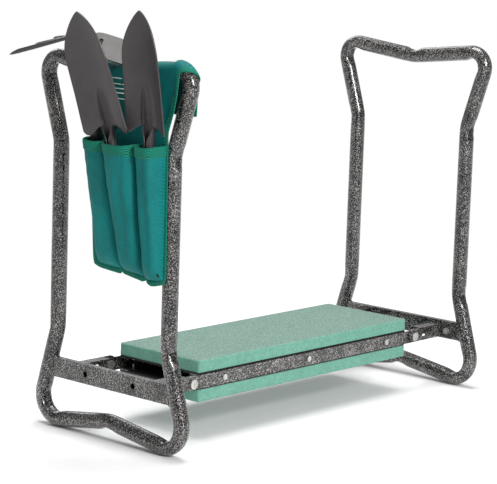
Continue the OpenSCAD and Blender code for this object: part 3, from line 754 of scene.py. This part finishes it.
def pocket_hem(name):
    """The folded-over band at a pocket's mouth, its two faces joined over the top."""
    p = POCKETS[name]
    band = [(0.075, 0.55), (0.070, 0.85), (0.05, 0.95), (0.025, 1.0), (0.006, 0.95), (-0.004, 0.6),
            (-0.006, 0.0), (-0.004, -0.5), (0.006, -0.75), (0.03, -0.8), (0.055, -0.75)]
    rows = [[pocket_point(p, v, u / 56, g) for u in range(57)] for v, g in band]
    verts, faces = grid(rows)
    o = piece(name + "_hem", verts, faces, "left_end_frame", TAPE, "pouch_tape", 75)
    thicken(o, 0.35 * MM, 0.0)
    return settle(o)


def stitches(name, points, body, mat, length=2.3, gap=1.3, r=0.28):
    """A line of sewing thread along points (mm), one short rounded stitch after another."""
    verts, faces = [], []
    total = sum((b - a).length for a, b in zip(points, points[1:]))
    cuts = []
    s = gap
    while s + length < total:
        cuts.append((s, s + length))
        s += length + gap

    def at(d):
        for a, b in zip(points, points[1:]):
            step = (b - a).length
            if d <= step:
                return a.lerp(b, d / step if step else 0)
            d -= step
        return points[-1]
    for a, b in cuts:
        p, q = at(a), at(b)
        t = (q - p).normalized()
        side = t.orthogonal().normalized()
        up = t.cross(side)
        base = len(verts)
        for k, (along, rad) in enumerate(((0, 0.45), (0.2, 1), (0.8, 1), (1, 0.45))):
            c = p.lerp(q, along)
            for m in range(6):
                ang = 2 * math.pi * m / 6
                verts.append((c + (side * math.cos(ang) + up * math.sin(ang)) * r * rad) * MM)
            if k:
                for m in range(6):
                    n = (m + 1) % 6
                    ring = base + k * 6
                    faces.append((ring - 6 + m, ring - 6 + n, ring + n, ring + m))
        faces.append(tuple(base + m for m in range(5, -1, -1)))
        faces.append(tuple(base + 18 + m for m in range(6)))
    return piece(name, verts, faces, body, mat, "pouch_tape", 70)


def pocket_stitches(name):
    p = POCKETS[name]
    line = [pocket_point(p, 0.064, u / 60, 1.25) / MM for u in range(1, 60)]
    return stitches(name + "_stitches", line, "left_end_frame", THREAD)


def tape_path():
    """The back panel's whole edge: each point, the way in along the cloth, and the cloth's outward side."""
    last = len(BACK[0]) - 1
    ends = len(BACK) - 1
    walk = [(i, last, i, last - 3) for i in range(0, ends + 1)]
    walk += [(ends, j, ends - 4, j) for j in range(last - 2, 1, -2)]
    walk += [(i, 0, i, 3) for i in range(ends, -1, -1)]
    walk += [(0, j, 2, j) for j in range(2, last - 1, 2)]
    out = []
    for n, (i, j, ii, jj) in enumerate(walk):
        before, after = walk[n - 1], walk[(n + 1) % len(walk)]
        t = (BACK[after[0]][after[1]] - BACK[before[0]][before[1]]).normalized()
        w = BACK[ii][jj] - BACK[i][j]
        w = (w - t * w.dot(t)).normalized()
        out.append((BACK[i][j], w, t.cross(w)))
    return out


def panel_tape():
    rows = []
    for p, w, n in tape_path():
        wob = 0.25 * wander(p, 0.06, 8)
        rows.append([(p + w * (2.2 + wob + 3.2 * math.copysign(abs(math.cos(a)) ** 0.55, math.cos(a)))
                      + n * (1.1 + wob * 0.4) * math.copysign(abs(math.sin(a)) ** 0.7, math.sin(a))) * MM
                     for a in (2 * math.pi * k / 16 for k in range(16))])
    verts, faces = grid(rows, close_u=True, close_v=True)
    o = piece("pouch_edge_tape", verts, faces, "left_end_frame", TAPE, "pouch_tape", 75)
    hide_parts("pouch_binding")
    return o


def tape_stitches():
    line = [p + w * 4.2 - Vector((1.25, 0, 0)) for p, w, _ in tape_path()[30:112]]
    return stitches("pouch_edge_stitches", line, "left_end_frame", THREAD)


def ribbon(name, lines, x, width, mat, slot):
    """Flat bars along straight lines ((y, z), (y, z)) on the panel's outer face, with rounded ends."""
    verts, faces = [], []
    for (y0, z0), (y1, z1) in lines:
        a, b = Vector((x, y0, z0)), Vector((x, y1, z1))
        t = (b - a).normalized()
        n = Vector((0, -t.z, t.y))
        ring = []
        for c, sgn in ((a, -1), (b, 1)):
            for k in range(7):
                ang = math.pi * (k / 6 - 0.5) * sgn
                ring.append(c + (t * math.cos(ang) * sgn + n * math.sin(ang)) * width / 2)
        base = len(verts)
        for depth in (0.0, -0.18):
            verts += [(q + Vector((depth, 0, 0))) * MM for q in ring]
        m = len(ring)
        for k in range(m):
            faces.append((base + k, base + (k + 1) % m, base + m + (k + 1) % m, base + m + k))
        faces.append(tuple(base + m + k for k in range(m)))
        faces.append(tuple(base + k for k in range(m - 1, -1, -1)))
    return piece(name, verts, faces, "left_end_frame", mat, slot, 60)


def pad_strip(name, x0, x1, ylow, yhigh, zlow, zhigh):
    """A sewn-on fastening strip with rolled edges."""
    rows = []
    for x, inset in ((x0, 1.2), (lerp(x0, x1, 0.3), 0.2), (lerp(x0, x1, 0.75), 0.1), (x1, 1.0)):
        pts = outline_points((yhigh - ylow) / 2, (zhigh - zlow) / 2, 2.5, inset)
        rows.append([Vector((x, (ylow + yhigh) / 2 + a, (zlow + zhigh) / 2 + b)) * MM for a, b in pts])
    verts, faces = capped(rows)
    if x1 < x0:
        faces = [f[::-1] for f in faces]
    return piece(name, verts, faces, "left_end_frame", STRIP, "strip", 60)


back = back_cloth()
pocket_pieces = [pocket(n) for n in POCKETS]
hems = [pocket_hem(n) for n in POCKETS]
threads = [pocket_stitches(n) for n in POCKETS]
tape = panel_tape()
tape_thread = tape_stitches()
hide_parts("pocket_hems")
strips = [pad_strip("hook_strip", OUT_X + 0.35, OUT_X + 1.0, -90, 30, 432, 450),
          pad_strip("loop_strip", IN_X - 0.1, IN_X - 0.75, -90, 30, 432, 450)]
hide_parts("hook_and_loop_strips")
PRINT_X = OUT_X - 1.35
mark = ribbon("plain_print", [((-36, 462), (18, 462)), ((-36, 437), (18, 437)), ((-39, 459), (-39, 440)),
                              ((21, 459), (21, 440)), ((-32, 455), (14, 455)), ((-32, 449.5), (14, 449.5)),
                              ((-32, 444), (14, 444))], PRINT_X, 1.3, PRINT, "pouch_cloth")
tack = pocket_point(POCKETS["right_pocket"], 0.95, 0.2, 0.9) / MM
bartack = ribbon("bartack", [((tack.y - 3, tack.z - 2), (tack.y + 3, tack.z + 1.5)),
                             ((tack.y - 3, tack.z - 3.2), (tack.y + 3, tack.z + 0.3))], tack.x - 0.2, 1.5,
                 BLACK_THREAD, "strip")


# ---------------------------------------------------------------- hand tools

def rotation(axis, degrees):
    return Matrix.Rotation(math.radians(degrees), 4, axis)


def tool_place(at, lean):
    """A tool's frame: its neck's centre at the pocket mouth, leaning towards +Y and -X."""
    return Matrix.Translation(Vector(at) * MM) @ rotation("Y", -lean[1]) @ rotation("X", -lean[0])


BASE_Z, CRANK, NECK_R = 10.0, 11.0, 7.0
TO_BASE = Matrix.Translation((0, 0, BASE_Z * MM))
LEAN_BACK = TO_BASE @ rotation("Y", -CRANK) @ TO_BASE.inverted()
TROWEL = tool_place((-330, -22.5, 386), (7.5, 6))
TRANSPLANTER = tool_place((-323.5, -81, 390), (-1, 0))
HOE = tool_place((-320.3, 15, 391), (9.5, 0))


def blade_half(w, s):
    """A blade's half width at a share of its length."""
    if s < 0.6:
        return w / 2 * (1 - 0.08 * s / 0.6)
    return w / 2 * 0.92 * max(0.0, 1 - ((s - 0.6) / 0.4) ** 2) ** 0.8


def trowel_head(name, node, place, l, w, body):
    """A pressed blade: a long dish with an open socket pressed up its middle, narrowing to a point."""
    dish, socket = 9.2, 58.0
    dish_r = ((w / 2) ** 2 + dish ** 2) / (2 * dish)
    shares = [0.0, 0.2, 0.4, 0.6, 0.78, 0.9, 1.0]
    rows = []
    count = 90
    for i in range(count + 1):
        s = i / count
        s = 1 - (1 - s) ** 1.25
        half = max(0.25, blade_half(w, s))
        z_mid = BASE_Z + (l - BASE_Z) * s
        q = min(1.0, max(0.0, (z_mid - BASE_Z) / socket))
        wh = max(0.7, 9.6 * (1 - q) ** 0.36) * lerp(0.8, 1, smooth(q / 0.25))
        wh = min(wh, half * 0.3)
        cols = [wh * a for a in shares] + [wh + k * (min(wh * 0.5, 1.6)) for k in (0.5, 1.0)]
        start = cols[-1]
        cols += [lerp(start, half, (k / 14) ** 0.9) for k in range(1, 15)]
        row = []
        for y in [-c for c in reversed(cols[1:])] + cols:
            a = abs(y)
            x = lerp(2, 3.2, smooth(q)) - (dish_r - math.sqrt(dish_r ** 2 - min(a, dish_r) ** 2))
            live = (1 - q) ** 0.5
            if a < wh:
                x += 7.5 * live * math.sqrt(1 - (a / wh) ** 2)
            x -= 2.2 * live * math.exp(-((a - wh) / 1.7) ** 2)
            notch = 9.5 * (1 - smooth((a - 13) / 19)) * (smooth(a / 7) if a < 7 else 1)
            round_off = 6 * max(0.0, (a / half - 0.86) / 0.14) ** 2.2 if half > 5 else 0
            fall = (1 - s) ** 3
            row.append(Vector((x, y, z_mid + (notch + round_off) * fall)) * MM)
        rows.append(row)
    verts, faces = grid(moved(rows, place @ LEAN_BACK))
    blade = piece(name, verts, faces, body, STEEL, "tool_steel", 50)
    thicken(blade, 1.5 * MM, 1.0)
    soften(blade, 0.35 * MM, 2, 60)
    settle(blade)
    neck = []
    for z in range(-8, 37, 3):
        cover = lerp(168, 55, smooth((z + 2) / 36))
        r = lerp(NECK_R, 10.6, smooth((z - 2) / 32))
        row = []
        for j in range(33):
            a = math.radians(-cover + 2 * cover * j / 32)
            row.append(Vector((r * math.cos(a) - (r - NECK_R) * 0.3, r * math.sin(a), z)) * MM)
        neck.append(row)
    bent = [[(LEAN_BACK @ p if p.z > BASE_Z * MM else p) for p in row] for row in neck]
    nv, nf = grid(moved(bent, place))
    collar = piece(name + "_socket", nv, nf, body, STEEL, "tool_steel", 50)
    thicken(collar, 1.3 * MM, -1.0)
    soften(collar, 0.3 * MM, 2, 60)
    settle(collar)
    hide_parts(node)
    return blade


def grip(name, node, place, body):
    """A moulded grip with a rounded end and finger rings."""
    profile = [(0.3, -74), (3.2, -73.7), (5.6, -72.6), (7.3, -70.6), (8.2, -67.6), (8.4, -64), (8.3, -58)]
    for k in range(7):
        z = -54 + k * 5
        profile += [(8.1, z), (7.6, z + 1.2), (7.6, z + 2.2), (8.2, z + 3.4)]
    profile += [(8.0, -18), (7.7, -14), (7.5, -11), (7.0, -9), (6.2, -8.2), (5.2, -8.0), (3.0, -8.0)]
    rows = lathe([(r * 0.95, z) for r, z in profile], 40)
    verts, faces = capped(moved(rows, place))
    o = piece(name, verts, faces, body, GRIP, "grip", 45)
    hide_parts(node)
    return o


trowel_head("trowel_head", "trowel_blade", TROWEL, 165, 76, "trowel")
trowel_head("transplanter_head", "transplanter_blade", TRANSPLANTER, 162, 64, "transplanter")
grip("trowel_handle", "trowel_grip", TROWEL, "trowel")
grip("transplanter_handle", "transplanter_grip", TRANSPLANTER, "transplanter")
grip("hoe_handle", "hoe_grip", HOE, "hoe_cultivator")

HEAD_H = 123.5
HEAD = HOE @ LEAN_BACK @ Matrix.Translation((0, 0, HEAD_H * MM))
COLLAR = [(7, -8), (7, 6), (6.4, 9)]
STEM = [(5.1, 12), (5.0, 20), (4.9, 60), (5.0, 104), (6.2, 113), (8.0, 116.5), (8.8, 118), (9.0, 119.5),
        (9.0, 127.5), (8.6, 128.8), (7.6, 129.5), (4, 129.5)]
rows = moved(lathe(COLLAR), HOE) + moved(lathe(STEM), HOE @ LEAN_BACK)
stem = piece("hoe_stem", *capped(rows), "hoe_cultivator", STEEL, "tool_steel", 45)
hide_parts("hoe_shank")

PLATE = HEAD @ rotation("Y", -24) @ rotation("Z", 24) @ rotation("X", 43)
PLATE = PLATE @ Matrix.Translation((0, -9 * MM, 0))


def rounded(points, radii, steps=6):
    """A closed outline with its corners rounded."""
    out = []
    n = len(points)
    for i in range(n):
        p, q, s = (Vector(points[k]) for k in (i - 1, i, (i + 1) % n))
        a, b = (p - q).normalized(), (s - q).normalized()
        reach = min(radii[i], (p - q).length * 0.45, (s - q).length * 0.45)
        for k in range(steps + 1):
            t = k / steps
            out.append((q + a * reach) * (1 - t) ** 2 + q * 2 * t * (1 - t) + (q + b * reach) * t ** 2)
    return out


def hoe_plate():
    """The hoe's flat plate, its edges softened, with a slot near its hub, and under the slot a dark sheet of
    painted shade.
    """
    half = [(6, 3), (8, -10), (24, -16), (27, -24), (27, -60), (0, -74)]
    pts = half + [(-x, y) for x, y in reversed(half[:-1])]
    radii = [1, 5, 9, 10, 5, 3, 5, 10, 9, 5, 1]
    edge = rounded(pts, radii)
    hole = rounded([(-13, -22), (13, -22), (13, -27), (-13, -27)], [2.4] * 4)
    curve = bpy.data.curves.new("hoe_outline", "CURVE")
    curve.dimensions = "2D"
    curve.fill_mode = "BOTH"
    curve.extrude = 0.55 * MM
    curve.bevel_depth = 0.25 * MM
    curve.bevel_resolution = 2
    for ring in (edge, hole):
        spline = curve.splines.new("POLY")
        spline.points.add(len(ring) - 1)
        spline.use_cyclic_u = True
        for point, q in zip(spline.points, ring):
            point.co = (q.x * MM, q.y * MM, 0, 1)
    source = bpy.data.objects.new("hoe_outline", curve)
    scene.collection.objects.link(source)
    bpy.context.view_layer.update()
    me = bpy.data.meshes.new_from_object(source.evaluated_get(bpy.context.evaluated_depsgraph_get()))
    bpy.data.objects.remove(source)
    for v in me.vertices:
        v.co = PLATE @ v.co
    o = bpy.data.objects.new("hoe_plate", me)
    scene.collection.objects.link(o)
    me.materials.clear()
    me.materials.append(HOE_STEEL)
    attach(o, "hoe_cultivator")
    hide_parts("hoe_blade")
    # Painted shade: a dark sheet under the slot stands in for the shadow seen through it.
    pan = rounded([(-15, -20.4), (15, -20.4), (15, -28.6), (-15, -28.6)], [3] * 4)
    shade_sheet_rows = [[PLATE @ (Vector((q.x, q.y, h)) * MM) for q in pan] for h in (-1.3, -0.75)]
    piece("hoe_slot_painted_shade", *capped(shade_sheet_rows), "hoe_cultivator", BOARD, "tool_steel", 60)
    return o


hoe_plate()


def prong(name, angle, length):
    """A forged prong, flat where it leaves the hub, thick in the middle and drawn out to a point."""
    place = HEAD @ rotation("Y", -2) @ rotation("Z", -8) @ rotation("X", -4) @ rotation("Z", angle)
    rows = []
    for k in range(26):
        t = k / 25
        wide = through([(0, 2.9), (0.2, 2.7), (0.6, 2.9), (0.86, 2.6), (0.95, 1.5), (1, 0.25)], t)
        tall = through([(0, 2.2), (0.3, 2.5), (0.6, 2.9), (0.84, 2.8), (0.95, 1.7), (1, 0.25)], t)
        drop = -1.4 * max(0.0, (t - 0.8) / 0.2) ** 1.5
        y = lerp(7.5, length, t)
        rows.append([Vector((wide * math.copysign(abs(math.cos(a)) ** 0.7, math.cos(a)), y,
                             drop + tall * math.copysign(abs(math.sin(a)) ** 0.7, math.sin(a)))) * MM
                     for a in (2 * math.pi * j / 20 for j in range(20))])
    verts, faces = capped(moved(rows, place))
    return piece(name, verts, [f[::-1] for f in faces], "hoe_cultivator", STEEL, "tool_steel", 50)


prongs = [prong(f"prong_{k + 1}", 20 * (k - 1), 93 if k == 1 else 102) for k in range(3)]
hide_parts("cultivator_prongs")


# ---------------------------------------------------------------- floor, light and camera

def backdrop():
    s = Shader("studio_floor", Roughness=0.9)
    grain = s.noise(60, 3)
    s.colour(s.mix(grain, (0.86, 0.86, 0.86, 1), (0.9, 0.9, 0.9, 1)))
    dist = s.add("VectorMath", {0: s.place}, operation="LENGTH").outputs["Value"]
    glow = s.add("Emission", {"Color": (1, 1, 1, 1), "Strength": 1.0}).outputs[0]
    blend = s.add("MixShader", {0: s.remap(dist, 0.42, 1.2)}).outputs[0]
    mixer = blend.node
    s.tree.links.new(s.bsdf.outputs[0], mixer.inputs[1])
    s.tree.links.new(glow, mixer.inputs[2])
    s.tree.links.new(blend, s.tree.nodes["Material Output"].inputs[0])
    ring = [(30 * math.cos(2 * math.pi * k / 64), 30 * math.sin(2 * math.pi * k / 64), 0) for k in range(64)]
    me = bpy.data.meshes.new("floor")
    me.from_pydata(ring, [], [tuple(range(64))])
    me.materials.append(s.mat)
    o = bpy.data.objects.new("floor", me)
    scene.collection.objects.link(o)
    o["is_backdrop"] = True


def area_light(name, at, towards, size, power):
    data = bpy.data.lights.new(name, "AREA")
    data.shape = "RECTANGLE"
    data.size, data.size_y = size
    data.energy = power
    o = bpy.data.objects.new(name, data)
    scene.collection.objects.link(o)
    o.location = at
    o.rotation_euler = (Vector(towards) - Vector(at)).to_track_quat("-Z", "Y").to_euler()


backdrop()
area_light("key", (-0.9, -2.5, 1.5), (0, 0, 0.2), (0.8, 0.8), 62)
area_light("overhead", (0.1, 0.2, 2.3), (0, 0, 0.1), (1.4, 1.0), 42)
area_light("rim", (0.9, 1.8, 1.6), (0, 0, 0.25), (1.6, 0.8), 12)
world = bpy.data.worlds.new("studio")
scene.world = world
world.use_nodes = True
world.node_tree.nodes["Background"].inputs["Color"].default_value = (1, 1, 1, 1)
world.node_tree.nodes["Background"].inputs["Strength"].default_value = 0.4
scene.view_settings.view_transform = "Standard"

azimuth, elevation, roll = (math.radians(a) for a in (-48.209, 9.3787, 1.9267))
back_axis = Vector((math.sin(azimuth) * math.cos(elevation), -math.cos(azimuth) * math.cos(elevation),
                    math.sin(elevation)))
right_axis = (-back_axis).cross(Vector((0, 0, 1))).normalized()
up_axis = right_axis.cross(-back_axis)
right_axis, up_axis = (right_axis * math.cos(roll) + up_axis * math.sin(roll),
                       up_axis * math.cos(roll) - right_axis * math.sin(roll))
camera = bpy.data.cameras.new("camera")
camera.sensor_width = 36
camera.lens = 153.6
camera.clip_end = 200
eye = bpy.data.objects.new("camera", camera)
scene.collection.objects.link(eye)
eye.matrix_world = Matrix.Translation((-2.1367, -1.868, 0.6929)) @ Matrix(
    (right_axis, up_axis, back_axis)).transposed().to_4x4()
scene.camera = eye

low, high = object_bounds()
